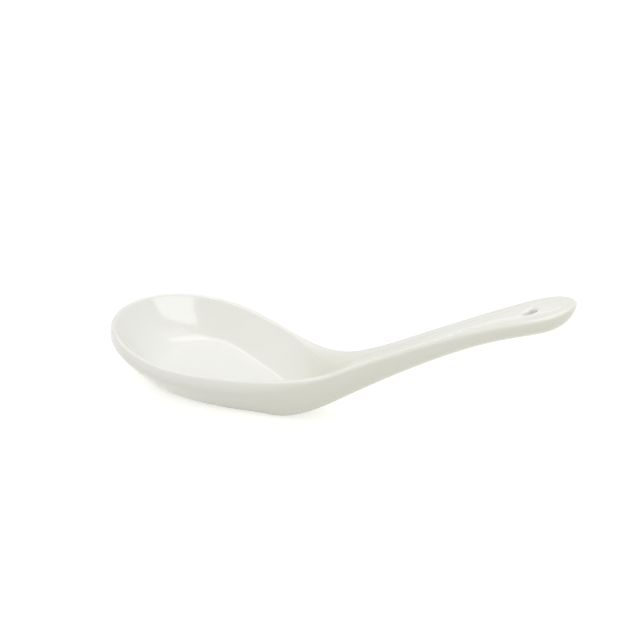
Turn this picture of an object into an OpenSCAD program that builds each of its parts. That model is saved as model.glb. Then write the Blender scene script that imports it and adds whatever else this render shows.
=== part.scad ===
// Chinese soup spoon in glazed porcelain: a deep oval bowl with a flat floor and a flat
// foot, and a grooved handle that rises from the neck to a rounded end with a hang hole.
// Lengths are in millimetres. "Along" means the distance from the bowl's tip towards the
// handle's end. The origin is the middle of the foot, +X runs to the handle, +Z is up.

/* [Outline from above] */
// Overall length of the spoon
spoon_l = 135; // [125:1:150]
// Width of the bowl over the lip
bowl_w = 44; // [40:0.5:48]
// Distance along to the bowl's widest place
bowl_widest_at = 30; // [27:0.5:34]
// Distance along to the handle's waist
waist_at = 94; // [88:1:100]
// Width of the handle at its waist
waist_w = 10.2; // [8.4:0.2:13]
// Width of the handle at its end
end_w = 13.5; // [11:0.5:17]
// Length of the handle's rounded end
end_round = 8; // [6:0.5:9]

/* [Rim from the side] */
// Height of the rim at the bowl's tip
tip_h = 16.6; // [14:0.1:20]
// Height of the rim where it is lowest
low_h = 14.7; // [12:0.1:17]
// Distance along to the lowest place of the rim
low_at = 45; // [40:1:50]
// Distance along to the neck, where the handle leaves the bowl
neck_at = 82; // [78:1:86]
// Height of the rim at the neck
neck_h = 22; // [20:0.2:27]
// Slope of the rim at the neck, in degrees
neck_rise = 32.5; // [26:0.5:40]
// Height of the rim at the handle's end
end_h = 54; // [46:0.5:62]
// Slope of the rim at the handle's end, in degrees
end_rise = 22; // [12:0.5:28]
// Thickness of the bowl's lip
lip_t = 2; // [1.6:0.1:3.6]
// Radius of the lip's inner edge
lip_in = 0.7; // [0.5:0.1:1.2]
// Height of the rounding outside the bowl's lip
lip_soft = 3.2; // [1.5:0.1:4.5]
// Radius of the handle's long edges
handle_edge = 0.9; // [0.6:0.1:1.5]

/* [Foot and underside] */
// Width of the flat foot
foot_w = 26; // [20:0.5:28]
// Distance along to the front of the foot
foot_front_at = 12.5; // [10:0.5:15]
// Distance along to the back of the foot
foot_back_at = 60.5; // [55:0.5:66]
// Depth of the handle at the neck
neck_depth = 10.6; // [8:0.2:12]
// Slope of the underside at the neck, in degrees
under_neck_rise = 40; // [32:1:44]
// Depth of the handle at its end
end_depth = 5.5; // [4.5:0.1:7]
// Slope of the underside at the handle's end, in degrees
under_end_rise = 24; // [14:1:32]

/* [Inside of the bowl and the handle's groove] */
// Thickness of the clay and glaze under the bowl's flat floor
floor_t = 4.2; // [3:0.1:5]
// Width of the flat floor
floor_w = 27.5; // [24:0.5:29]
// Distance along to the front of the floor
floor_front_at = 10; // [8:0.5:13]
// Distance along to the back of the floor
floor_back_at = 67.5; // [62:0.5:69]
// Width of the fillet round the floor
floor_fillet = 1.5; // [1:0.1:4]
// Width of the softer fillet at the floor's front
tip_fillet = 8; // [2:0.5:10]
// Depth of the groove at the neck
groove_neck = 2.2; // [1.2:0.1:3]
// Depth of the groove at the handle's end
groove_end = 0.4; // [0.2:0.1:1]

/* [Hang hole] */
// Diameter of the finished hole
hole_d = 3; // [2:0.1:5]
// Distance from the hole's middle to the handle's end
hole_from_end = 9.5; // [8.5:0.5:20]
// Radius of the hole's soft mouth
mouth_r = 0.8; // [0.4:0.1:1.2]

/* [Glaze] */
// Thickness of the glaze
glaze_t = 0.3; // [0.2:0.05:0.5]

/* [Hidden] */

// Steps along each stretch of the outline, and round each stretch of a section
tip_steps = 12;
bowl_steps = 20;
handle_steps = 8;
end_steps = 8;
wall_steps = 7;
lip_steps = 3;
side_steps = 6;
round_steps = 48;
mouth_steps = 6;

// Handles of the curves, as shares of the stretch that they bend
round_k = 0.55;
soft_k = 0.6;
wall_k = 0.15;
crisp_k = 0.9;
// Reach of the outline's curve as it leaves the bowl and as it comes to the waist
bowl_reach = 18;
waist_reach = 20;
waist_leave = 0.85;
end_arrive = 0.2;
// How fast the foot and the floor narrow towards the neck
foot_taper = 1.6;
floor_taper = 1.3;
// Shares of the handle's half width: flat underside, groove's shoulder and groove's floor
under_flat = 0.2;
groove_shoulder = 0.45;
groove_floor = 0.25;
// Most of the floor's half width that its fillet may take
fillet_most = 0.9;
// Rows of a section from the foot's middle to the glaze's edge
bare_rows = 2;
// Length of the handle's end in which the sections fan out
end_fan = 5;
// Slope at which the hole's mouths run out into the handle, in degrees
mouth_flare = 40;

end_at = spoon_l - end_round;
spine_end = spoon_l - end_fan;
foot_mid = (foot_front_at + foot_back_at) / 2;
handle_from = (low_at + foot_back_at) / 2;
hole_at = spoon_l - hole_from_end;
hole_r = hole_d / 2;

// Curves: a cubic between two places with a set height and slope, a cubic with four
// control points, and a smooth step from 0 to 1
function hermite(u, a, b) =
    let (d = b[0] - a[0], t = (u - a[0]) / d)
    a[1] * (1 + 2 * t) * (1 - t) ^ 2 + b[1] * t ^ 2 * (3 - 2 * t)
    + d * (a[2] * t * (1 - t) ^ 2 - b[2] * t ^ 2 * (1 - t));
function bezier(p, t) =
    (1 - t) ^ 3 * p[0] + 3 * t * (1 - t) ^ 2 * p[1] + 3 * t ^ 2 * (1 - t) * p[2] + t ^ 3 * p[3];
function smooth(t) = let (c = max(0, min(1, t))) c ^ 2 * (3 - 2 * c);
function mix(a, b, t) = a + (b - a) * t;
function blend(a, b) = (a ^ 4 + b ^ 4) ^ (1 / 4);

// Side view: heights of the rim, the underside and the inner floor at a distance along
tip_point = [0, tip_h, 0];
low_point = [low_at, low_h, 0];
neck_point = [neck_at, neck_h, tan(neck_rise)];
end_point = [spoon_l, end_h, tan(end_rise)];
function rim_z(u) =
    u < low_at ? hermite(u, tip_point, low_point)
    : u < neck_at ? hermite(u, low_point, neck_point)
    : hermite(u, neck_point, end_point);

under_neck = [neck_at, neck_h - neck_depth, tan(under_neck_rise)];
under_end = [spine_end, rim_z(spine_end) - end_depth, tan(under_end_rise)];
function under_z(u) =
    u < foot_back_at ? 0
    : u < neck_at ? hermite(u, [foot_back_at, 0, 0], under_neck)
    : hermite(u, under_neck, under_end);

function groove_depth(u) =
    mix(groove_neck, groove_end, smooth((u - neck_at) / (end_at - neck_at)));
function floor_z(u) =
    u < floor_back_at ? floor_t
    : u < neck_at ? hermite(u, [floor_back_at, floor_t, 0],
                            [neck_at, neck_h - groove_neck, tan(neck_rise)])
    : rim_z(u) - groove_depth(u);

// View from above: half of the outline, from the bowl's tip to the middle of the end
handle_l = end_at - waist_at;
outline_curves = [
    [tip_steps, [[0, 0], [0, round_k * bowl_w / 2],
                 [bowl_widest_at * (1 - round_k), bowl_w / 2], [bowl_widest_at, bowl_w / 2]]],
    [bowl_steps, [[bowl_widest_at, bowl_w / 2], [bowl_widest_at + bowl_reach, bowl_w / 2],
                  [waist_at - waist_reach, waist_w / 2], [waist_at, waist_w / 2]]],
    [handle_steps, [[waist_at, waist_w / 2], [waist_at + handle_l * waist_leave, waist_w / 2],
                    [end_at - handle_l * end_arrive, end_w / 2], [end_at, end_w / 2]]],
    [end_steps, [[end_at, end_w / 2], [end_at + round_k * end_round, end_w / 2],
                 [spoon_l, round_k * end_w / 2], [spoon_l, 0]]],
];
outline = concat([[0, 0]], [for (c = outline_curves) for (i = [1:c[0]]) bezier(c[1], i / c[0])]);
last = len(outline) - 1;
first_spine = tip_steps;
last_spine = min([for (i = [0:last]) if (outline[i][0] >= spine_end) i]);
foot_end = min([for (i = [0:last]) if (outline[i][0] >= foot_back_at) i]);

// Half widths of the foot and the floor in a section that looks along e
function oval(e, a, b) = 1 / sqrt((e[0] / a) ^ 2 + (e[1] / b) ^ 2);
function foot_half(u, e) =
    u < bowl_widest_at ? oval(e, bowl_widest_at - foot_front_at, foot_w / 2)
    : let (t = min(1, (u - bowl_widest_at) / (neck_at - bowl_widest_at)))
      foot_w / 2 * (1 - t ^ 2) ^ foot_taper;
function floor_half(u, e) =
    u < bowl_widest_at ? oval(e, bowl_widest_at - floor_front_at, floor_w / 2)
    : let (t = min(1, (u - bowl_widest_at) / (floor_back_at - bowl_widest_at)))
      floor_w / 2 * (1 - t ^ floor_taper);

// Half a section as [distance from the spine, height], from the underside's middle, up the
// outer wall, over the lip and down to the middle of the floor or the groove
function half_section(u, e, reach) =
    let (v = min(u, spine_end),
         grip = smooth((u - handle_from) / (neck_at - handle_from)),
         top = rim_z(v),
         base = under_z(v),
         shelf = floor_z(v),
         flat = foot_half(u, e) + grip * under_flat * reach,
         edge = mix(lip_t - lip_in, handle_edge, grip),
         lip_h = mix(lip_soft, handle_edge, grip),
         side = top - lip_h,
         bend = mix(wall_k, soft_k, grip),
         crest = [reach - edge, top],
         shoulder = [crest[0] - mix(lip_in, groove_shoulder * crest[0], grip), top],
         corner = [blend(floor_half(u, e), groove_floor * crest[0]), shelf],
         front = e[0] ^ 4,
         fillet = min(mix(mix(floor_fillet, tip_fillet, front), corner[0], grip),
                      fillet_most * corner[0]),
         hang = mix(lip_in / (top - shelf), 0.5, grip),
         drop = shoulder + (corner - shoulder) * hang,
         inner = [corner[0] - fillet, shelf],
         crisp = mix(crisp_k, soft_k, max(front, grip)),
         wall = [[flat, base], [mix(flat, reach, bend), base],
                 [reach, mix(side, base, bend)], [reach, side]],
         lip = [[reach, side], [reach, side + round_k * lip_h],
                [crest[0] + (1 - round_k) * edge, top], crest],
         turn = [crest, mix(crest, shoulder, round_k), mix(drop, shoulder, round_k), drop],
         foot_of_wall = [drop, mix(drop, corner, crisp), mix(inner, corner, crisp), inner])
    concat([[0, base]],
           [for (i = [0:wall_steps]) bezier(wall, i / wall_steps)],
           [for (i = [1:lip_steps]) bezier(lip, i / lip_steps)],
           [for (i = [1:lip_steps]) bezier(turn, i / lip_steps)],
           [for (i = [1:side_steps]) bezier(foot_of_wall, i / side_steps)],
           [[0, shelf]]);
rows = wall_steps + 1 + 2 * lip_steps + side_steps + 1;

// A half section moved into the wall by a depth, all but the first rows where they stay bare
function sunk_section(s, depth, bare) =
    [for (j = [0:rows])
        let (a = s[max(0, j - 1)], b = s[min(rows, j + 1)],
             n = j == 0 ? [0, -1] : j == rows ? [0, 1] : [b[1] - a[1], a[0] - b[0]] / norm(b - a))
        j < bare ? s[j] : s[j] - n * depth];

// Points of a closed ring round each station. Sections stand square to the spine, and fan
// out round its two ends. In the handle's round end they lean with the rim.
function spine(u) = max(bowl_widest_at, min(u, spine_end));
function ring(i, depth) =
    let (u = outline[i][0], c = spine(u), v = outline[i] - [c, 0], reach = norm(v), e = v / reach,
         half = sunk_section(half_section(u, e, reach), depth, i < foot_end ? bare_rows : 0))
    [for (m = [0:2 * rows - 1])
        let (j = m <= rows ? m : 2 * rows - m, r = half[j][0], along = c + e[0] * r,
             lean = u > spine_end ? rim_z(along) - rim_z(spine_end) : 0)
        [along - foot_mid, (m <= rows ? 1 : -1) * e[1] * r, half[j][1] + lean]];
function skin(depth) = [for (i = [0:last]) each ring(i, depth)];

// Number of a point, with the points that coincide on the spine and at both ends shared
function point_id(i, m) =
    let (k = m % (2 * rows),
         j = i == 0 || i == last ? min(k, 2 * rows - k) : k,
         s = k == 0 || k == rows ? max(first_spine, min(i, last_spine)) : i)
    s * 2 * rows + j;
function triangles(a, b, c, d) =
    [for (t = [[a, b, c], [a, c, d]]) if (t[0] != t[1] && t[1] != t[2] && t[2] != t[0]) t];
function cell(i, m) =
    triangles(point_id(i, m), point_id(i + 1, m), point_id(i + 1, m + 1), point_id(i, m + 1));
all_cells = [for (i = [0:last - 1]) for (m = [0:2 * rows - 1]) each cell(i, m)];

// The glaze covers every cell but those of the bare foot
function glazed(i, m) = i >= foot_end || (m >= bare_rows && m < 2 * rows - bare_rows);
glazed_cells = [for (i = [0:last - 1]) for (m = [0:2 * rows - 1]) if (glazed(i, m)) each cell(i, m)];
// The glaze's edge round the foot, as pairs of neighbouring points
edge_points = concat([for (i = [0:foot_end]) point_id(i, bare_rows)],
                     [for (m = [bare_rows - 1:-1:1 - bare_rows]) point_id(foot_end, m + 2 * rows)],
                     [for (i = [foot_end:-1:1]) point_id(i, 2 * rows - bare_rows)]);
skin_size = (last + 1) * 2 * rows;

// The spoon's whole form, sunk by a depth
module form(depth) {
    polyhedron(skin(depth), all_cells);
}

// The glaze as a skin with the clay's surface for its inner side, before the hole is made
module glaze_shell() {
    n = len(edge_points);
    polyhedron(concat(skin(0), skin(glaze_t)),
               concat(glazed_cells,
                      [for (t = glazed_cells) [t[2], t[1], t[0]] + skin_size * [1, 1, 1]],
                      [for (k = [0:n - 1])
                          let (a = edge_points[k], b = edge_points[(k + 1) % n])
                          each triangles(a, a + skin_size, b + skin_size, b)]));
}

// The hang hole, square to the handle, with soft mouths above and below. The gap widens it
// for the glaze that lines it.
hole_slope = atan(rim_z(hole_at + 0.5) - rim_z(hole_at - 0.5));
hole_l = (floor_z(hole_at) - under_z(hole_at)) * cos(hole_slope);
function mouth(gap) =
    let (turn = 90 - mouth_flare, r = mouth_r - gap, middle = [hole_r + mouth_r, -mouth_r * sin(turn)],
         curve = [for (i = [0:mouth_steps])
                     let (a = turn * i / mouth_steps) middle + r * [-cos(a), sin(a)]])
    concat(curve, [curve[mouth_steps] + end_w / 2 * [sin(turn), cos(turn)]]);
module hang_hole(gap) {
    upper = mouth(gap);
    n = len(upper) - 1;
    half = concat(upper, [[0, upper[n][1]]]);
    translate([hole_at - foot_mid, 0, floor_z(hole_at)])
        rotate([0, -hole_slope, 0])
            rotate_extrude($fn = round_steps)
                polygon(concat(half, [for (i = [n + 1:-1:0]) [half[i][0], -hole_l - half[i][1]]]));
}

// Fired clay, bare at the foot
module porcelain_body() {
    color("ivory") difference() {
        form(glaze_t);
        hang_hole(glaze_t);
    }
}

// Glassy coat over all but the foot, with a sleeve that lines the hang hole
module glaze_coat() {
    color("white") difference() {
        union() {
            glaze_shell();
            intersection() {
                form(glaze_t / 2);
                hang_hole(glaze_t);
            }
        }
        hang_hole(0);
    }
}

porcelain_body();
glaze_coat();
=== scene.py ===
import math

import bpy
from bpy.props import FloatProperty, FloatVectorProperty, PointerProperty
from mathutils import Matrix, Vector


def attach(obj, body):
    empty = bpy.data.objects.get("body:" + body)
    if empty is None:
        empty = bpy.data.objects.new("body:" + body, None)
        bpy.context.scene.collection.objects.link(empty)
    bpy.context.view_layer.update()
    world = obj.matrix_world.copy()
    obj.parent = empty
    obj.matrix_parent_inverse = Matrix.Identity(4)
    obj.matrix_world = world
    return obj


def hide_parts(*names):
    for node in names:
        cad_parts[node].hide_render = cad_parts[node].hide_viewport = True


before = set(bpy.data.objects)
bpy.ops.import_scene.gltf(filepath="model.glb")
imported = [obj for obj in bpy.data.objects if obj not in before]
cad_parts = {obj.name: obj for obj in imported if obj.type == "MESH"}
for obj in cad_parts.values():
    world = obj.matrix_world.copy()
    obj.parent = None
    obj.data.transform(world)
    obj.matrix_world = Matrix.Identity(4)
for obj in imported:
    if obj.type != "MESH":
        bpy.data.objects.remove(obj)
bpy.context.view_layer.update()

bl_info = {
    "name": "Porcelain Soup Spoon",
    "version": (1, 0, 0),
    "blender": (4, 5, 0),
    "location": "View3D > Sidebar > Spoon",
    "description": "Makes a glazed porcelain soup spoon and a plain studio round it",
    "category": "Add Mesh",
}

MM = 0.001
# The spoon's middle, at which the camera and the lamps point
VIEW_TARGET = Vector((31, 0, 12)) * MM


def millimetres(name, description, value):
    """A length property whose default is written in millimetres."""
    return FloatProperty(name=name, description=description, default=value * MM, unit="LENGTH",
                         precision=4)


def degrees(name, description, value):
    """An angle property whose default is written in degrees."""
    return FloatProperty(name=name, description=description, default=math.radians(value),
                         subtype="ANGLE")


def share(name, description, value):
    """A plain number that says how much of something is taken."""
    return FloatProperty(name=name, description=description, default=value, precision=3)


def watts(name, description, value):
    """The power of a lamp."""
    return FloatProperty(name=name, description=description, default=value, unit="POWER")


def colour(name, description, value):
    """A colour property."""
    return FloatVectorProperty(name=name, description=description, default=value, subtype="COLOR",
                               size=3, min=0, max=1)


class SpoonShape(bpy.types.PropertyGroup):
    """Sizes of the spoon. Along means the distance from the bowl's tip."""
    spoon_l: millimetres("Length", "Overall length of the spoon", 135)
    bowl_w: millimetres("Bowl width", "Width of the bowl over the lip", 44)
    bowl_widest_at: millimetres("Bowl widest at", "Distance along to the bowl's widest place", 30)
    waist_at: millimetres("Waist at", "Distance along to the handle's waist", 94)
    waist_w: millimetres("Waist width", "Width of the handle at its waist", 10.2)
    end_w: millimetres("End width", "Width of the handle at its end", 13.5)
    end_round: millimetres("End round", "Length of the handle's rounded end", 8)
    bowl_reach: millimetres("Bowl reach", "How far the outline stays wide after the bowl", 18)
    waist_reach: millimetres("Waist reach", "How far the outline stays narrow before the waist", 20)
    tip_h: millimetres("Tip height", "Height of the rim at the bowl's tip", 16.6)
    low_h: millimetres("Low rim height", "Height of the rim where it is lowest", 14.7)
    low_at: millimetres("Low rim at", "Distance along to the lowest place of the rim", 45)
    neck_at: millimetres("Neck at", "Distance along to the neck", 82)
    neck_h: millimetres("Neck height", "Height of the rim at the neck", 22)
    neck_rise: degrees("Neck rise", "Slope of the rim at the neck", 32.5)
    end_h: millimetres("End height", "Height of the rim at the handle's end", 54)
    end_rise: degrees("End rise", "Slope of the rim at the handle's end", 22)
    lip_t: millimetres("Lip thickness", "Thickness of the bowl's lip", 2)
    lip_in: millimetres("Lip inner edge", "Radius of the lip's inner edge", 0.7)
    lip_soft: millimetres("Lip softness", "Height of the rounding outside the bowl's lip", 3.2)
    handle_edge: millimetres("Handle edge", "Radius of the handle's long edges", 0.9)
    foot_w: millimetres("Foot width", "Width of the flat foot", 26)
    foot_front_at: millimetres("Foot front at", "Distance along to the front of the foot", 12.5)
    foot_back_at: millimetres("Foot back at", "Distance along to the back of the foot", 60.5)
    neck_depth: millimetres("Neck depth", "Depth of the handle at the neck", 10.6)
    under_neck_rise: degrees("Under neck rise", "Slope of the underside at the neck", 40)
    end_depth: millimetres("End depth", "Depth of the handle at its end", 5.5)
    under_end_rise: degrees("Under end rise", "Slope of the underside at the handle's end", 24)
    floor_t: millimetres("Floor thickness", "Thickness under the bowl's flat floor", 4.2)
    floor_w: millimetres("Floor width", "Width of the flat floor", 27.5)
    floor_front_at: millimetres("Floor front at", "Distance along to the front of the floor", 10)
    floor_back_at: millimetres("Floor back at", "Distance along to the back of the floor", 67.5)
    floor_fillet: millimetres("Floor fillet", "Width of the fillet round the floor", 1.5)
    tip_fillet: millimetres("Tip fillet", "Width of the softer fillet at the floor's front", 8)
    groove_neck: millimetres("Groove at neck", "Depth of the groove at the neck", 2.2)
    groove_end: millimetres("Groove at end", "Depth of the groove at the handle's end", 0.4)
    end_fan: millimetres("End fan", "Length of the end in which the sections fan out", 5)
    hole_d: millimetres("Hole diameter", "Diameter of the finished hang hole", 3)
    hole_from_end: millimetres("Hole from end", "From the hole's middle to the handle's end", 9.5)
    mouth_r: millimetres("Mouth radius", "Radius of the hole's soft mouth", 0.8)
    glaze_t: millimetres("Glaze thickness", "Thickness of the glaze", 0.3)
    round_k: share("Round", "Handle of a curve that turns like a circle", 0.55)
    soft_k: share("Soft", "Handle of a soft curve in the handle's sections", 0.6)
    wall_k: share("Wall", "Handle of the bowl's outer wall", 0.15)
    crisp_k: share("Crisp", "Handle of the fillet round the floor", 0.9)
    waist_leave: share("Waist leave", "How long the outline stays narrow after the waist", 0.85)
    end_arrive: share("End arrive", "How long the outline stays wide before the end", 0.2)
    foot_taper: share("Foot taper", "How fast the foot narrows towards the neck", 1.6)
    floor_taper: share("Floor taper", "How fast the floor narrows towards the neck", 1.3)
    under_flat: share("Under flat", "Flat share of the handle's underside", 0.2)
    groove_shoulder: share("Groove shoulder", "Share of the handle's top beside the groove", 0.45)
    groove_floor: share("Groove floor", "Share of the handle's top in the groove", 0.25)
    fillet_most: share("Fillet limit", "Most of the floor's half width that a fillet takes", 0.9)


class SpoonFinish(bpy.types.PropertyGroup):
    """Colours and gloss of the glaze and the bare clay."""
    glaze_light: colour("Glaze", "Colour of the glaze", (0.87, 0.87, 0.83))
    # Painted shade: a darker, warmer glaze colour laid in the neck and down the handle's outside,
    # where shade and warm bounce light fall
    glaze_deep: colour("Glaze, thicker", "Colour where the glaze runs together", (0.86, 0.85, 0.77))
    # Partly painted shade: thin glaze on the lip's crest and the handle's edges, made darker to dim
    # the lit lip
    glaze_thin: colour("Glaze, thinner", "Colour where the glaze runs thin", (0.81, 0.80, 0.74))
    gloss_low: share("Smoothest glaze", "Roughness of the smoothest glaze", 0.09)
    gloss_high: share("Roughest glaze", "Roughness of the least smooth glaze", 0.16)
    gloss_thin: share("Thin glaze", "Roughness where the glaze runs thin", 0.5)
    clay_light: colour("Bare clay", "Colour of the fired clay", (0.83, 0.81, 0.75))
    clay_dark: colour("Bare clay, worn", "Colour of the clay's worn grains", (0.70, 0.67, 0.60))
    matt_low: share("Smoothest clay", "Roughness of the smoothest clay", 0.62)
    matt_high: share("Roughest clay", "Roughness of the least smooth clay", 0.8)


class SpoonStage(bpy.types.PropertyGroup):
    """The studio: floor, lights and camera."""
    floor_colour: colour("Floor", "Colour of the floor", (0.70, 0.70, 0.65))
    floor_glow: share("Floor glow", "How much the floor is lifted towards white in the picture", 0.6)
    sky: share("Sky", "Strength of the even light from all round", 0.75)
    top_light: watts("Top light", "Power of the light overhead", 2.9)
    front_light: watts("Front light", "Power of the light beside the camera", 0.25)
    window: watts("Window", "Power of the window that shines in the bowl's far wall", 1.9)
    panel: watts("Panel", "Power of the wide lamp that shines round the bowl's floor", 7.5)
    view_turn: degrees("View turn", "Turn of the camera round the spoon, from +X", -60.29)
    view_rise: degrees("View rise", "Height of the camera as an angle", 34.55)
    view_far: millimetres("View distance", "Distance from the camera to the spoon's middle", 208.9)
    lens: FloatProperty(name="Lens", description="Focal length of the camera", default=41.05,
                        unit="CAMERA")
    shift_x: share("Shift across", "Sideways shift of the camera's frame", 0.0222)
    shift_y: share("Shift up", "Upward shift of the camera's frame", 0.0866)


# Stations along half of the outline: tip, bowl, handle and end
STATIONS = (48, 72, 100, 64)
# Rows round half of a section: foot, wall, lip, inner turn, inner wall, floor, then the hole
ROWS = (3, 21, 8, 8, 20, 3)
HOLE_ROWS = 8
# Rows of the outer wall that stay bare beside the foot
BARE_WALL_ROWS = 3
# Rows inside and outside the lip's crest on which the glaze runs thin and is painted darker
THIN_INNER_ROWS = 10
THIN_OUTER_ROWS = 4
LAST_STATION = sum(STATIONS)
TOP_ROW = sum(ROWS)
CREST_ROW = sum(ROWS[:3])
LAST_ROW = TOP_ROW + HOLE_ROWS
GLAZE_EDGE_ROW = ROWS[0] + BARE_WALL_ROWS

# Lamps: width and height in metres, then turn round the spoon, rise, distance and roll
LAMPS = {
    "top_light": ((1.0, 1.0), (0, 89, 1.0, 0)),
    "front_light": ((0.8, 0.5), (-60, 45, 0.9, 0)),
    "window": ((0.76, 0.27), (-53, 37, 0.8, 17)),
    "panel": ((1.2, 1.06), (180, 69.5, 1.0, 0)),
}
# Lamps that only shine in glossy surfaces
SHINE_ONLY = ("window", "panel")
# Half of the floor's side in metres, and how far the floor lies under the foot
FLOOR_HALF = 1.5
FLOOR_GAP = 0.05 * MM
# Width of the camera's sensor in millimetres, and the nearest that it sees in metres
SENSOR_W = 36
NEAREST_SEEN = 0.01

# Noise patterns: scale, detail, roughness, then the two noise values between which they run
GLAZE_CLOUD = (38, 2, 0.5, 0.35, 0.65)
GLAZE_GLOSS = (120, 3, 0.5, 0.3, 0.7)
CLAY_GRAIN = (1400, 4, 0.7, 0.4, 0.75)
CLAY_GLOSS = (300, 3, 0.5, 0.3, 0.7)
# Bumps: scale, detail and roughness of the noise, then their strength and height
GLAZE_WAVE = (90, 1, 0.5, 0.05, 0.4 * MM)
CLAY_PITS = (1800, 5, 0.7, 0.35, 0.2 * MM)
# Share of the darker tone that comes from the clouds; the rest is painted shade
CLOUD_SHARE = 0.3
# How strong the thin glaze and its painted shade are where the clouds make them weakest
THIN_LEAST = 0.7
# How strongly the glaze bends light
GLAZE_IOR = 1.5

# Half a station or row, so that whole numbers are told apart safely
HALF_STEP = 0.5
# Share of the stations near the hang hole that open into it
OPEN_SHARE = 0.6
# How far beside the hole the rows bend round it, in radii of the hole
BEND_RADII = 2.4
# Share of the outer wall's rows that may move at the hole's lower mouth
UNDER_SHARE = 0.6
# How far off the skin a ray towards it starts, and how long the ray is
RAY_START = 8 * MM
RAY_LENGTH = 20 * MM
# Length over which the glaze begins behind the foot
COVER_FADE = 1 * MM
# Points nearer to each other than this are joined
WELD_GAP = 0.001 * MM

# Places of a Mix node's colour sockets
MIX_AMOUNT, MIX_FIRST, MIX_SECOND, MIX_RESULT = 0, 6, 7, 2
# Width and height that a node takes on the sheet, and how many stand in a column
NODE_W, NODE_H, NODE_ROWS = 220, 180, 16


class Field:
    """A number in a node tree, so that the spoon's rule can be written as plain arithmetic."""

    def __init__(self, socket):
        self.socket = socket

    def __add__(self, other):
        return calc("ADD", self, other)

    def __sub__(self, other):
        return calc("SUBTRACT", self, other)

    def __mul__(self, other):
        return calc("MULTIPLY", self, other)

    def __truediv__(self, other):
        return calc("DIVIDE", self, other)

    def __rsub__(self, other):
        return calc("SUBTRACT", other, self)

    def __rtruediv__(self, other):
        return calc("DIVIDE", other, self)

    __radd__ = __add__
    __rmul__ = __mul__


def plain(*terms):
    """True where every term is an ordinary number."""
    return not any(isinstance(term, Field) for term in terms)


def add_node(tree, kind, inputs=(), **settings):
    """A node in its place on the sheet, with its settings made and its inputs joined or set."""
    node = tree.nodes.new(kind)
    count = len(tree.nodes)
    node.location = (NODE_W * (count // NODE_ROWS), -NODE_H * (count % NODE_ROWS))
    for key, value in settings.items():
        setattr(node, key, value)
    pairs = inputs.items() if isinstance(inputs, dict) else enumerate(inputs)
    for key, value in pairs:
        feed(tree, value, node.inputs[key])
    return node


def feed(tree, value, socket):
    """Joins a field or a socket to an input, or sets a plain value on it."""
    if isinstance(value, Field):
        value = value.socket
    if isinstance(value, bpy.types.NodeSocket):
        tree.links.new(value, socket)
    else:
        socket.default_value = value


def calc(operation, *terms):
    """A math node on fields and numbers."""
    tree = next(term.socket.id_data for term in terms if isinstance(term, Field))
    return Field(add_node(tree, "ShaderNodeMath", terms, operation=operation).outputs[0])


def least(a, b):
    """The smaller of two numbers."""
    return min(a, b) if plain(a, b) else calc("MINIMUM", a, b)


def most(a, b):
    """The larger of two numbers."""
    return max(a, b) if plain(a, b) else calc("MAXIMUM", a, b)


def power(a, k):
    """A power of a number, which counts as 0 where it is less."""
    return most(a, 0) ** k if plain(a, k) else calc("POWER", most(a, 0), k)


def root(a):
    """The square root of a number, which counts as 0 where it is less."""
    return math.sqrt(most(a, 0)) if plain(a) else calc("SQRT", most(a, 0))


def slope(a):
    """The rise for each unit along, at an angle."""
    return math.tan(a) if plain(a) else calc("TANGENT", a)


def below(a, b):
    """1 where the first number is less than the second, and otherwise 0."""
    return float(a < b) if plain(a, b) else calc("LESS_THAN", a, b)


def choose(index, values):
    """The value whose place in the list is the index."""
    if plain(index):
        return values[int(index)]
    tree = index.socket.id_data
    node = add_node(tree, "GeometryNodeIndexSwitch", data_type="FLOAT")
    while len(node.index_switch_items) < len(values):
        node.index_switch_items.new()
    for socket, value in zip(node.inputs, [index, *values]):
        feed(tree, value, socket)
    return Field(node.outputs[0])


def pick(test, yes, no):
    """One value where the test is 1, and another where it is 0."""
    return choose(test, [no, yes])


def mix(a, b, t):
    """The number that lies a share of the way from one to another."""
    return a + (b - a) * t


def clamp(a):
    """A number held between 0 and 1."""
    return most(0.0, least(1.0, a))


def smooth(t):
    """A soft step from 0 to 1."""
    c = clamp(t)
    return c * c * (3 - 2 * c)


def square(a):
    """The second power of a number."""
    return a * a


def fourth(a):
    """The fourth power of a number."""
    return square(square(a))


def wider(a, b):
    """The larger of two widths, with a soft change from one to the other."""
    return power(fourth(a) + fourth(b), 1 / 4)


def oval(e, a, b):
    """Radius of an oval in a direction, from its two half axes."""
    return 1 / root(square(e[0] / a) + square(e[1] / b))


def hermite(u, a, b):
    """Height of a cubic between two places, each given as distance, height and slope."""
    d = b[0] - a[0]
    t = (u - a[0]) / d
    s = 1 - t
    return (a[1] * (1 + 2 * t) * s * s + b[1] * t * t * (3 - 2 * t)
            + d * (a[2] * t * s * s - b[2] * t * t * s))


def bezier(p, t):
    """A number on a cubic with four control values."""
    s = 1 - t
    return s * s * s * p[0] + 3 * t * s * s * p[1] + 3 * t * t * s * p[2] + t * t * t * p[3]


def stretch(n, counts):
    """Which stretch the nth point is in, and how far along that stretch it is."""
    starts = [sum(counts[:k]) for k in range(len(counts))]
    which = 0.0
    for start in starts[1:]:
        which = which + below(start, n)
    return which, (n - choose(which, starts)) / choose(which, counts)


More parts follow.
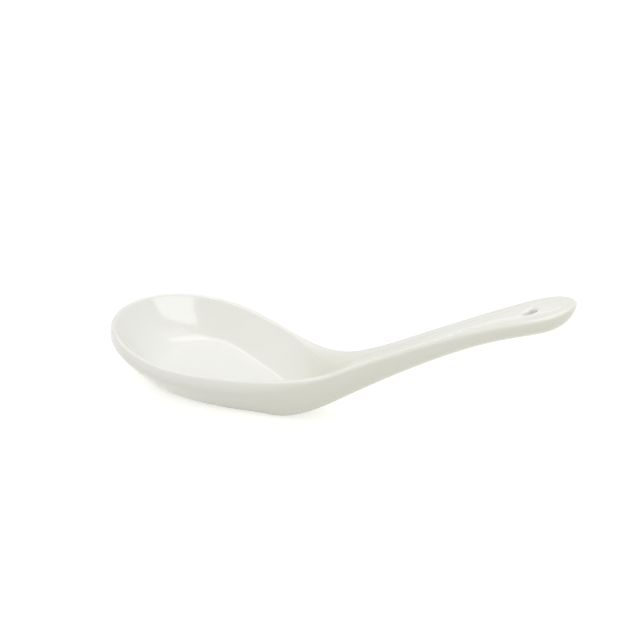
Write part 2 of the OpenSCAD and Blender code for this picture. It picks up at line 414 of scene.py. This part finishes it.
class SpoonRule:
    """The rule that gives every point of the spoon's skin from its sizes."""

    def __init__(self, sizes):
        self.__dict__.update(sizes)
        self.end_at = self.spoon_l - self.end_round
        self.spine_end = self.spoon_l - self.end_fan
        self.foot_mid = (self.foot_front_at + self.foot_back_at) / 2
        self.handle_from = (self.low_at + self.foot_back_at) / 2
        self.low = (self.low_at, self.low_h, 0)
        self.neck = (self.neck_at, self.neck_h, slope(self.neck_rise))
        self.end = (self.spoon_l, self.end_h, slope(self.end_rise))
        self.under_neck = (self.neck_at, self.neck_h - self.neck_depth, slope(self.under_neck_rise))
        self.rim_at_end = self.rim_z(self.spine_end)
        self.under_end = (self.spine_end, self.rim_at_end - self.end_depth,
                          slope(self.under_end_rise))

    def rim_z(self, u):
        """Height of the rim and of the handle's top edges."""
        tip = (0, self.tip_h, 0)
        bowl = pick(below(u, self.low_at), hermite(u, tip, self.low),
                    hermite(u, self.low, self.neck))
        return pick(below(u, self.neck_at), bowl, hermite(u, self.neck, self.end))

    def under_z(self, u):
        """Height of the foot and of the handle's underside."""
        lift = (self.foot_back_at, 0, 0)
        rise = pick(below(u, self.neck_at), hermite(u, lift, self.under_neck),
                    hermite(u, self.under_neck, self.under_end))
        return pick(below(u, self.foot_back_at), 0.0, rise)

    def floor_z(self, u):
        """Height of the bowl's floor and of the groove in the handle."""
        fade = smooth((u - self.neck_at) / (self.end_at - self.neck_at))
        groove = self.rim_z(u) - mix(self.groove_neck, self.groove_end, fade)
        lift = (self.floor_back_at, self.floor_t, 0)
        meet = (self.neck_at, self.neck_h - self.groove_neck, slope(self.neck_rise))
        rise = pick(below(u, self.neck_at), hermite(u, lift, meet), groove)
        return pick(below(u, self.floor_back_at), self.floor_t, rise)

    def outline(self, i):
        """Distance along and half width of the outline at a station."""
        which, t = stretch(i, STATIONS)
        k = self.round_k
        bowl, waist, end = self.bowl_w / 2, self.waist_w / 2, self.end_w / 2
        handle_l = self.end_at - self.waist_at
        along = [
            (0.0, self.bowl_widest_at, self.waist_at, self.end_at),
            (0.0, self.bowl_widest_at + self.bowl_reach, self.waist_at + handle_l * self.waist_leave,
             self.end_at + k * self.end_round),
            (self.bowl_widest_at * (1 - k), self.waist_at - self.waist_reach,
             self.end_at - handle_l * self.end_arrive, self.spoon_l),
            (self.bowl_widest_at, self.waist_at, self.end_at, self.spoon_l),
        ]
        half = [
            (0.0, bowl, waist, end),
            (k * bowl, bowl, waist, end),
            (bowl, waist, end, k * end),
            (bowl, waist, end, 0.0),
        ]
        return (bezier([choose(which, values) for values in along], t),
                bezier([choose(which, values) for values in half], t))

    def foot_half(self, u, e):
        """Half width of the flat foot."""
        front = oval(e, self.bowl_widest_at - self.foot_front_at, self.foot_w / 2)
        t = clamp((u - self.bowl_widest_at) / (self.neck_at - self.bowl_widest_at))
        return pick(below(u, self.bowl_widest_at), front,
                    self.foot_w / 2 * power(1 - t * t, self.foot_taper))

    def floor_half(self, u, e):
        """Half width of the bowl's floor."""
        front = oval(e, self.bowl_widest_at - self.floor_front_at, self.floor_w / 2)
        t = clamp((u - self.bowl_widest_at) / (self.floor_back_at - self.bowl_widest_at))
        return pick(below(u, self.bowl_widest_at), front,
                    self.floor_w / 2 * (1 - power(t, self.floor_taper)))

    def section(self, u, e, reach, j):
        """Distance from the spine and height of a row in the section at a place along."""
        v = least(u, self.spine_end)
        grip = smooth((u - self.handle_from) / (self.neck_at - self.handle_from))
        top, base, shelf = self.rim_z(v), self.under_z(v), self.floor_z(v)
        flat = self.foot_half(u, e) + grip * self.under_flat * reach
        edge = mix(self.lip_t - self.lip_in, self.handle_edge, grip)
        lip_h = mix(self.lip_soft, self.handle_edge, grip)
        side = top - lip_h
        bend = mix(self.wall_k, self.soft_k, grip)
        crest = reach - edge
        shoulder = crest - mix(self.lip_in, self.groove_shoulder * crest, grip)
        corner = wider(self.floor_half(u, e), self.groove_floor * crest)
        front = fourth(e[0])
        round_floor = mix(self.floor_fillet, self.tip_fillet, front)
        fillet = least(mix(round_floor, corner, grip), self.fillet_most * corner)
        halfway = 1 / 2
        third = 1 / 3
        hang = mix(self.lip_in / (top - shelf), halfway, grip)
        drop_r, drop_z = mix(shoulder, corner, hang), mix(top, shelf, hang)
        inner = corner - fillet
        crisp = mix(self.crisp_k, self.soft_k, most(front, grip))
        k = self.round_k
        which, t = stretch(j, ROWS)
        across = [
            (0.0, flat, reach, crest, drop_r, inner),
            (flat * third, mix(flat, reach, bend), reach, mix(crest, shoulder, k),
             mix(drop_r, corner, crisp), inner * 2 * third),
            (flat * 2 * third, reach, crest + (1 - k) * edge, mix(drop_r, shoulder, k),
             mix(inner, corner, crisp), inner * third),
            (flat, reach, crest, drop_r, inner, 0.0),
        ]
        height = [
            (base, base, side, top, drop_z, shelf),
            (base, base, side + k * lip_h, top, mix(drop_z, shelf, crisp), shelf),
            (base, mix(side, base, bend), top, mix(drop_z, top, k), shelf, shelf),
            (base, side, top, drop_z, shelf, shelf),
        ]
        return (bezier([choose(which, values) for values in across], t),
                bezier([choose(which, values) for values in height], t))

    def point(self, u, w, j):
        """Place of the skin's point at a place on the outline and a row, on the +Y side."""
        c = most(self.bowl_widest_at, least(u, self.spine_end))
        reach = root(square(u - c) + square(w))
        e = ((u - c) / reach, w / reach)
        r, z = self.section(u, e, reach, j)
        along = c + e[0] * r
        lean = pick(below(self.spine_end, u), self.rim_z(along) - self.rim_at_end, 0.0)
        return along - self.foot_mid, e[1] * r, z + lean

    def covered(self, u, j):
        """How far the glaze lies over the clay: 0 on the bare foot and 1 past its edge."""
        up_the_wall = smooth((j - ROWS[0]) / BARE_WALL_ROWS)
        return most(up_the_wall, smooth((u - self.foot_back_at) / COVER_FADE + 1))

    def thin(self, j):
        """How thin the glaze runs, which is thinnest on the lip and the handle's edges, where its
        colour is partly painted shade.
        """
        past_crest = j - CREST_ROW
        return smooth(1 - most(past_crest / THIN_INNER_ROWS, past_crest / -THIN_OUTER_ROWS))

    def pooled(self, u, j):
        """How much painted shade, darker and warmer, lies in the neck and down the handle's outside.
        """
        into_neck = smooth((u - self.low_at) / (self.neck_at - self.low_at))
        past_neck = smooth((u - self.neck_at) / (self.waist_at - self.neck_at))
        return into_neck * (1 - below(CREST_ROW, j) * past_neck)

    def hole_frame(self):
        """Place of the hole's mouth, its slope and its length."""
        u = self.spoon_l - self.hole_from_end
        step = 0.5 * MM
        tilt = math.atan2(self.rim_z(u + step) - self.rim_z(u - step), 2 * step)
        length = (self.floor_z(u) - self.under_z(u)) * math.cos(tilt)
        return u - self.foot_mid, self.floor_z(u), tilt, length


def sizes_of(shape):
    """The shape's sizes by name."""
    return {key: getattr(shape, key) for key in SpoonShape.__annotations__}


class HolePlan:
    """Where the hang hole is, and which stations open round it."""

    def __init__(self, rule):
        self.x, self.z, self.tilt, self.length = rule.hole_frame()
        self.radius = rule.hole_d / 2
        self.mouth = rule.mouth_r
        self.span = self.radius + 2 * self.mouth
        near = [i for i in range(LAST_STATION) if abs(self.distance(rule, i)) < self.span]
        self.half_count = (near[-1] - near[0]) // 2
        self.middle = near[0] + self.half_count
        self.open_count = round(self.half_count * OPEN_SHARE)

    def distance(self, rule, i):
        """How far a station is from the hole's middle, along the handle's slope."""
        u, _ = rule.outline(i)
        return (u - rule.foot_mid - self.x) / math.cos(self.tilt)


def vector(tree, x, y, z):
    """Three numbers as one vector."""
    return add_node(tree, "ShaderNodeCombineXYZ", (x, y, z)).outputs[0]


def split(tree, socket):
    """The three numbers of a vector."""
    node = add_node(tree, "ShaderNodeSeparateXYZ", (socket,))
    return [Field(out) for out in node.outputs]


def position(tree):
    """Where each point is."""
    return add_node(tree, "GeometryNodeInputPosition").outputs[0]


def move_points(tree, mesh, place, where=None):
    """Puts the points in a new place: all of them, or those where the test is 1."""
    node = add_node(tree, "GeometryNodeSetPosition", {"Geometry": mesh, "Position": place})
    if where is not None:
        feed(tree, where, node.inputs["Selection"])
    return node.outputs[0]


def mark_points(tree, mesh, name, value):
    """Keeps a number with each point of the mesh, under a name."""
    node = add_node(tree, "GeometryNodeStoreNamedAttribute", {
        "Geometry": mesh, "Name": name, "Value": value}, data_type="FLOAT", domain="POINT")
    return node.outputs[0]


def drop_faces(tree, mesh, where):
    """Takes out the faces where the test is 1."""
    node = add_node(tree, "GeometryNodeDeleteGeometry", {"Geometry": mesh, "Selection": where},
                    domain="FACE", mode="ALL")
    return node.outputs[0]


def join(tree, *meshes):
    """Several meshes as one."""
    node = add_node(tree, "GeometryNodeJoinGeometry")
    for mesh in meshes:
        tree.links.new(mesh, node.inputs[0])
    return node.outputs[0]


def flip(tree, mesh):
    """The mesh with its faces turned round."""
    return add_node(tree, "GeometryNodeFlipFaces", {"Mesh": mesh}).outputs[0]


def weld(tree, mesh):
    """The mesh with the points of its seams joined."""
    node = add_node(tree, "GeometryNodeMergeByDistance", {"Geometry": mesh, "Distance": WELD_GAP})
    return node.outputs[0]


def both_sides(tree, mesh):
    """A half skin joined to its mirror image, with the seam welded."""
    node = add_node(tree, "GeometryNodeTransform", {"Geometry": mesh, "Scale": (1, -1, 1)})
    return weld(tree, join(tree, mesh, flip(tree, node.outputs[0])))


def grid_place(tree, width):
    """Station and row of a point or face of the sheet, from its number."""
    index = Field(add_node(tree, "GeometryNodeInputIndex").outputs[0])
    station = calc("FLOOR", (index + HALF_STEP) / width)
    return station, index - station * width


def open_hole(tree, mesh, solid, plan, i, j):
    """Opens the rows over and under the hang hole into its round mouths."""
    cos, sin = math.cos(plan.tilt), math.sin(plan.tilt)
    step = i - plan.middle
    away = calc("ABSOLUTE", step)
    sign = calc("SIGN", step)
    in_hole = calc("SINE", clamp(away / plan.open_count) * (math.pi / 2)) * plan.radius
    past = clamp((away - plan.open_count) / (plan.half_count - plan.open_count))
    target = sign * (in_hole + past * (plan.span - plan.radius))
    half_gap = root(square(plan.radius) - square(in_hole))
    px, py, pz = split(tree, position(tree))
    own = (px - plan.x) * cos + (pz - plan.z) * sin
    zone = below(away, plan.half_count - HALF_STEP)
    # Past the hole the stations go back to their own places
    hold = 1 - past * past * past
    reach = clamp(py / (plan.radius * BEND_RADII))
    near = square(1 - reach * reach)
    along = mix(own, target, near * hold)
    across = py + half_gap * near
    upper_rows = below(CREST_ROW - HALF_STEP, j) * below(j, TOP_ROW + HALF_STEP)
    lower_rows = below(j, ROWS[0] + ROWS[1] * UNDER_SHARE)
    for rows, start, way in ((upper_rows, RAY_START, -1),
                             (lower_rows, -plan.length - RAY_START, 1)):
        source = vector(tree, plan.x + along * cos - start * sin, across,
                        plan.z + along * sin + start * cos)
        ray = add_node(tree, "GeometryNodeRaycast", {
            "Target Geometry": solid, "Source Position": source,
            "Ray Direction": (-way * sin, 0, way * cos), "Ray Length": RAY_LENGTH})
        hit = split(tree, ray.outputs["Hit Position"])
        apart = root(square(along) + square(across))
        edge = most(0.0, least(plan.mouth, plan.radius + plan.mouth - apart))
        sink = plan.mouth - root(square(plan.mouth) - square(edge))
        place = vector(tree, hit[0] - sin * way * sink, hit[1], hit[2] + cos * way * sink)
        mesh = move_points(tree, mesh, place, zone * rows)
    return mesh


def line_hole(tree, mesh, i, j):
    """Draws the rows of the hole's wall straight between its two mouths."""
    ends = []
    for row in (TOP_ROW, 0):
        node = add_node(tree, "GeometryNodeSampleIndex", {
            "Geometry": mesh, "Value": position(tree), "Index": i * (LAST_ROW + 1) + row},
            data_type="FLOAT_VECTOR", domain="POINT")
        ends.append(split(tree, node.outputs[0]))
    t = (j - TOP_ROW) / HOLE_ROWS
    place = vector(tree, *[mix(a, b, t) for a, b in zip(*ends)])
    return move_points(tree, mesh, place, below(TOP_ROW + HALF_STEP, j))


def skin_tree(name, rule_sizes, material, shell):
    """A node tree that makes the glaze as a thin shell, or the clay under it as a solid."""
    tree = bpy.data.node_groups.new(name, "GeometryNodeTree")
    tree.is_modifier = True
    tree.interface.new_socket("Geometry", in_out="OUTPUT", socket_type="NodeSocketGeometry")
    for key in SpoonShape.__annotations__:
        socket = tree.interface.new_socket(label_of(key), in_out="INPUT",
                                           socket_type="NodeSocketFloat")
        socket.default_value = rule_sizes[key]
    given = tree.nodes.new("NodeGroupInput")
    rule = SpoonRule({key: Field(given.outputs[label_of(key)])
                      for key in SpoonShape.__annotations__})
    known = SpoonRule(rule_sizes)
    plan = HolePlan(known)

    sheet = add_node(tree, "GeometryNodeMeshGrid", {
        "Vertices X": LAST_STATION + 1, "Vertices Y": LAST_ROW + 1})
    i, j = grid_place(tree, LAST_ROW + 1)
    u, w = rule.outline(i)
    half = move_points(tree, flip(tree, sheet.outputs[0]),
                       vector(tree, *rule.point(u, w, least(j, TOP_ROW))))
    face_i, face_j = grid_place(tree, LAST_ROW)
    hole_face = below(TOP_ROW - HALF_STEP, face_j)
    solid = both_sides(tree, drop_faces(tree, half, hole_face))

    if shell:
        # The thin glaze's mask, whose colour is partly painted shade on the lip
        marked = mark_points(tree, half, "thin", rule.thin(j))
        # The painted shade's mask: the neck and the handle's outside
        marked = mark_points(tree, marked, "pooled", rule.pooled(u, j))
    else:
        marked = mark_points(tree, half, "covered", rule.covered(u, j))
    holed = open_hole(tree, marked, solid, plan, i, j)
    holed = line_hole(tree, holed, i, j)
    outside = calc("ABSOLUTE", face_i + HALF_STEP - plan.middle)
    unused = hole_face * below(plan.open_count, outside)
    if shell:
        bare_end = min(k for k in range(LAST_STATION)
                       if known.outline(k)[0] >= known.foot_back_at)
        bare = below(face_j, GLAZE_EDGE_ROW - HALF_STEP) * below(face_i, bare_end - HALF_STEP)
        unused = most(unused, bare)
    skin = both_sides(tree, drop_faces(tree, holed, unused))

    if shell:
        inner = add_node(tree, "GeometryNodeExtrudeMesh", {
            "Mesh": skin, "Offset Scale": -1 * rule.glaze_t, "Individual": False}, mode="FACES")
        skin = weld(tree, join(tree, skin, flip(tree, inner.outputs["Mesh"])))
    else:
        # The clay sinks under the glaze everywhere but at the foot
        depth = add_node(tree, "GeometryNodeInputNamedAttribute", {"Name": "covered"},
                         data_type="FLOAT")
        normal = add_node(tree, "GeometryNodeInputNormal")
        offset = add_node(tree, "ShaderNodeVectorMath", {
            0: normal.outputs[0], "Scale": -1 * rule.glaze_t * Field(depth.outputs[0])},
            operation="SCALE")
        node = add_node(tree, "GeometryNodeSetPosition", {
            "Geometry": skin, "Offset": offset.outputs[0]})
        skin = node.outputs[0]
    soft = add_node(tree, "GeometryNodeSetShadeSmooth", {"Geometry": skin})
    real = add_node(tree, "GeometryNodeRealizeInstances", {"Geometry": soft.outputs[0]})
    paint = add_node(tree, "GeometryNodeSetMaterial", {
        "Geometry": real.outputs[0], "Material": material})
    result = tree.nodes.new("NodeGroupOutput")
    tree.links.new(paint.outputs[0], result.inputs[0])
    return tree


def label_of(key):
    """The name that a size has in the panel and on the node tree."""
    return SpoonShape.bl_rna.properties[key].name


def grow_piece(name, tree, shape):
    """A plain mesh object from a node tree, with the tree's inputs set from the shape."""
    piece = bpy.data.objects.new(name, bpy.data.meshes.new(name))
    bpy.context.scene.collection.objects.link(piece)
    modifier = piece.modifiers.new("Spoon rule", "NODES")
    modifier.node_group = tree
    ids = {item.name: item.identifier for item in tree.interface.items_tree
           if item.in_out == "INPUT"}
    for key, value in sizes_of(shape).items():
        modifier[ids[label_of(key)]] = value
    depsgraph = bpy.context.evaluated_depsgraph_get()
    mesh = bpy.data.meshes.new_from_object(piece.evaluated_get(depsgraph))
    piece.modifiers.remove(modifier)
    mesh.name = name
    piece.data = mesh
    if len(mesh.polygons) == 0:
        raise RuntimeError(f"{name} came out empty")
    return piece


def new_material(name):
    """A material with its node tree and its shader."""
    material = bpy.data.materials.new(name)
    material.use_nodes = True
    tree = material.node_tree
    return material, tree, tree.nodes["Principled BSDF"]


def noise(tree, scale, detail, rough):
    """Soft noise in the piece's own coordinates."""
    where = add_node(tree, "ShaderNodeTexCoord")
    node = add_node(tree, "ShaderNodeTexNoise", {
        "Vector": where.outputs["Object"], "Scale": scale, "Detail": detail, "Roughness": rough})
    return node.outputs["Fac"]


def pattern(tree, kind, start=0, end=1):
    """A noise pattern that runs from a start value to an end value."""
    scale, detail, rough, low, high = kind
    node = add_node(tree, "ShaderNodeMapRange", {
        "Value": noise(tree, scale, detail, rough), "From Min": low, "From Max": high,
        "To Min": start, "To Max": end})
    return Field(node.outputs[0])


def bumps(tree, kind):
    """The normal of a surface with small bumps."""
    scale, detail, rough, strength, height = kind
    node = add_node(tree, "ShaderNodeBump", {
        "Strength": strength, "Distance": height, "Height": noise(tree, scale, detail, rough)})
    return node.outputs[0]


def point_mark(tree, name):
    """A number that the mesh keeps with each of its points."""
    return Field(add_node(tree, "ShaderNodeAttribute", attribute_name=name).outputs["Fac"])


def blend_colours(tree, amount, first, second):
    """A mix of two colours, each given as a socket or as a plain colour."""
    node = add_node(tree, "ShaderNodeMix", data_type="RGBA")
    feed(tree, amount, node.inputs[MIX_AMOUNT])
    for value, place in ((first, MIX_FIRST), (second, MIX_SECOND)):
        joined = isinstance(value, bpy.types.NodeSocket)
        feed(tree, value if joined else (*value, 1), node.inputs[place])
    return node.outputs[MIX_RESULT]


def seen_rays(tree):
    """1 on the rays that show a thing to the camera, straight or in gloss and glass."""
    path = add_node(tree, "ShaderNodeLightPath")
    seen = Field(path.outputs["Is Camera Ray"])
    for ray in ("Is Glossy Ray", "Is Transmission Ray"):
        seen = most(seen, Field(path.outputs[ray]))
    return seen


def glaze_material(finish):
    """Glossy warm white glaze with painted shade in the neck and down the handle's outside, thin and
    partly painted darker on the edges, that reflects with a slight wave.
    """
    material, tree, shader = new_material("warm_white_glaze")
    cloud = pattern(tree, GLAZE_CLOUD)
    # Painted shade: the darker, warmer tone in the neck and down the handle's outside, mixed with
    # random clouds
    shade_and_cloud = mix(point_mark(tree, "pooled"), cloud, CLOUD_SHARE)
    tone_with_shade = blend_colours(tree, shade_and_cloud, finish.glaze_light, finish.glaze_deep)
    # Thin glaze on the lip and edges: partly the body's real tone, partly painted shade that dims
    # the lit crest
    thin = point_mark(tree, "thin") * mix(THIN_LEAST, 1, cloud)
    feed(tree, blend_colours(tree, thin, tone_with_shade, finish.glaze_thin), shader.inputs["Base Color"])
    gloss = pattern(tree, GLAZE_GLOSS, finish.gloss_low, finish.gloss_high)
    feed(tree, mix(gloss, finish.gloss_thin, thin), shader.inputs["Roughness"])
    feed(tree, bumps(tree, GLAZE_WAVE), shader.inputs["Normal"])
    shader.inputs["IOR"].default_value = GLAZE_IOR
    return material


def clay_material(finish):
    """Matt fired clay with a fine grain."""
    material, tree, shader = new_material("bare_fired_clay")
    tone = blend_colours(tree, pattern(tree, CLAY_GRAIN), finish.clay_light, finish.clay_dark)
    feed(tree, tone, shader.inputs["Base Color"])
    matt = pattern(tree, CLAY_GLOSS, finish.matt_low, finish.matt_high)
    feed(tree, matt, shader.inputs["Roughness"])
    feed(tree, bumps(tree, CLAY_PITS), shader.inputs["Normal"])
    return material


def floor_material(stage):
    """A pale floor that the camera and reflections see lifted to white, shadow kept."""
    material, tree, shader = new_material("pale_floor")
    shader.inputs["Base Color"].default_value = (*stage.floor_colour, 1)
    shader.inputs["Roughness"].default_value = 1
    shader.inputs["Specular IOR Level"].default_value = 0
    shader.inputs["Emission Color"].default_value = (1, 1, 1, 1)
    feed(tree, seen_rays(tree) * stage.floor_glow, shader.inputs["Emission Strength"])
    return material


def white_sky(strength):
    """Even light from all round, seen as white by the camera and in reflections."""
    world = bpy.data.worlds.new("white_studio")
    world.use_nodes = True
    tree = world.node_tree
    back = tree.nodes["Background"]
    back.inputs["Color"].default_value = (1, 1, 1, 1)
    feed(tree, mix(strength, 1.0, seen_rays(tree)), back.inputs["Strength"])
    return world


def around(turn, rise):
    """The direction at a turn round the spoon from +X and a rise above the floor."""
    return Vector((math.cos(turn) * math.cos(rise), math.sin(turn) * math.cos(rise),
                   math.sin(rise)))


def area_light(name, power_w, size, place):
    """A soft rectangular lamp in its place round the spoon, that points at the spoon."""
    lamp = bpy.data.lights.new(name, "AREA")
    lamp.shape = "RECTANGLE"
    lamp.size, lamp.size_y = size
    lamp.energy = power_w
    obj = bpy.data.objects.new(name, lamp)
    turn, rise, distance, roll = place
    away = around(math.radians(turn), math.radians(rise))
    obj.location = VIEW_TARGET + away * distance
    obj.rotation_euler = (-away).to_track_quat("-Z", "Y").to_euler()
    obj.rotation_euler.rotate_axis("Z", math.radians(roll))
    obj.visible_camera = False
    obj.visible_diffuse = name not in SHINE_ONLY
    bpy.context.scene.collection.objects.link(obj)


class SPOON_OT_clay(bpy.types.Operator):
    """Makes the fired clay, bare at the foot"""
    bl_idname = "spoon.clay"
    bl_label = "Fired clay"

    def execute(self, context):
        shape = context.scene.spoon_shape
        material = clay_material(context.scene.spoon_finish)
        tree = skin_tree("Spoon clay", sizes_of(shape), material, shell=False)
        clay = grow_piece("fired_clay", tree, shape)
        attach(clay, "root")
        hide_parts("porcelain_body")
        return {"FINISHED"}


class SPOON_OT_glaze(bpy.types.Operator):
    """Makes the glaze, a thin glassy shell over all but the foot"""
    bl_idname = "spoon.glaze"
    bl_label = "Glaze"

    def execute(self, context):
        shape = context.scene.spoon_shape
        material = glaze_material(context.scene.spoon_finish)
        tree = skin_tree("Spoon glaze", sizes_of(shape), material, shell=True)
        glaze = grow_piece("white_glaze", tree, shape)
        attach(glaze, "root")
        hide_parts("glaze_coat")
        return {"FINISHED"}


class SPOON_OT_stage(bpy.types.Operator):
    """Makes the floor, the lights and the camera"""
    bl_idname = "spoon.stage"
    bl_label = "Studio"

    def execute(self, context):
        scene = context.scene
        stage = scene.spoon_stage
        half = FLOOR_HALF
        mesh = bpy.data.meshes.new("studio_floor")
        mesh.from_pydata([(-half, -half, 0), (half, -half, 0), (half, half, 0), (-half, half, 0)],
                         [], [(0, 1, 2, 3)])
        mesh.materials.append(floor_material(stage))
        floor = bpy.data.objects.new("studio_floor", mesh)
        floor.location.z = -FLOOR_GAP
        scene.collection.objects.link(floor)

        scene.world = white_sky(stage.sky)
        for name, (size, place) in LAMPS.items():
            area_light(name, getattr(stage, name), size, place)

        camera = bpy.data.cameras.new("photo_view")
        camera.sensor_width = SENSOR_W
        camera.lens = stage.lens
        camera.shift_x = stage.shift_x
        camera.shift_y = stage.shift_y
        camera.clip_start = NEAREST_SEEN
        eye = bpy.data.objects.new("photo_view", camera)
        away = around(stage.view_turn, stage.view_rise)
        eye.location = VIEW_TARGET + away * stage.view_far
        eye.rotation_euler = (-away).to_track_quat("-Z", "Y").to_euler()
        scene.collection.objects.link(eye)
        scene.camera = eye
        scene.view_settings.view_transform = "Standard"
        return {"FINISHED"}


class SPOON_PT_sidebar(bpy.types.Panel):
    """The spoon's pieces, sizes and finishes"""
    bl_label = "Porcelain spoon"
    bl_idname = "SPOON_PT_sidebar"
    bl_space_type = "VIEW_3D"
    bl_region_type = "UI"
    bl_category = "Spoon"

    def draw(self, context):
        layout = self.layout
        for operator in (SPOON_OT_clay, SPOON_OT_glaze, SPOON_OT_stage):
            layout.operator(operator.bl_idname)
        for group in (context.scene.spoon_shape, context.scene.spoon_finish,
                      context.scene.spoon_stage):
            box = layout.box()
            for key in group.__annotations__:
                box.prop(group, key)


CLASSES = (SpoonShape, SpoonFinish, SpoonStage, SPOON_OT_clay, SPOON_OT_glaze, SPOON_OT_stage,
           SPOON_PT_sidebar)


def register():
    for cls in CLASSES:
        bpy.utils.register_class(cls)
    bpy.types.Scene.spoon_shape = PointerProperty(type=SpoonShape)
    bpy.types.Scene.spoon_finish = PointerProperty(type=SpoonFinish)
    bpy.types.Scene.spoon_stage = PointerProperty(type=SpoonStage)


def unregister():
    del bpy.types.Scene.spoon_stage
    del bpy.types.Scene.spoon_finish
    del bpy.types.Scene.spoon_shape
    for cls in reversed(CLASSES):
        bpy.utils.unregister_class(cls)


def main():
    register()
    bpy.ops.spoon.clay()
    bpy.ops.spoon.glaze()
    bpy.ops.spoon.stage()


if __name__ == "__main__":
    main()
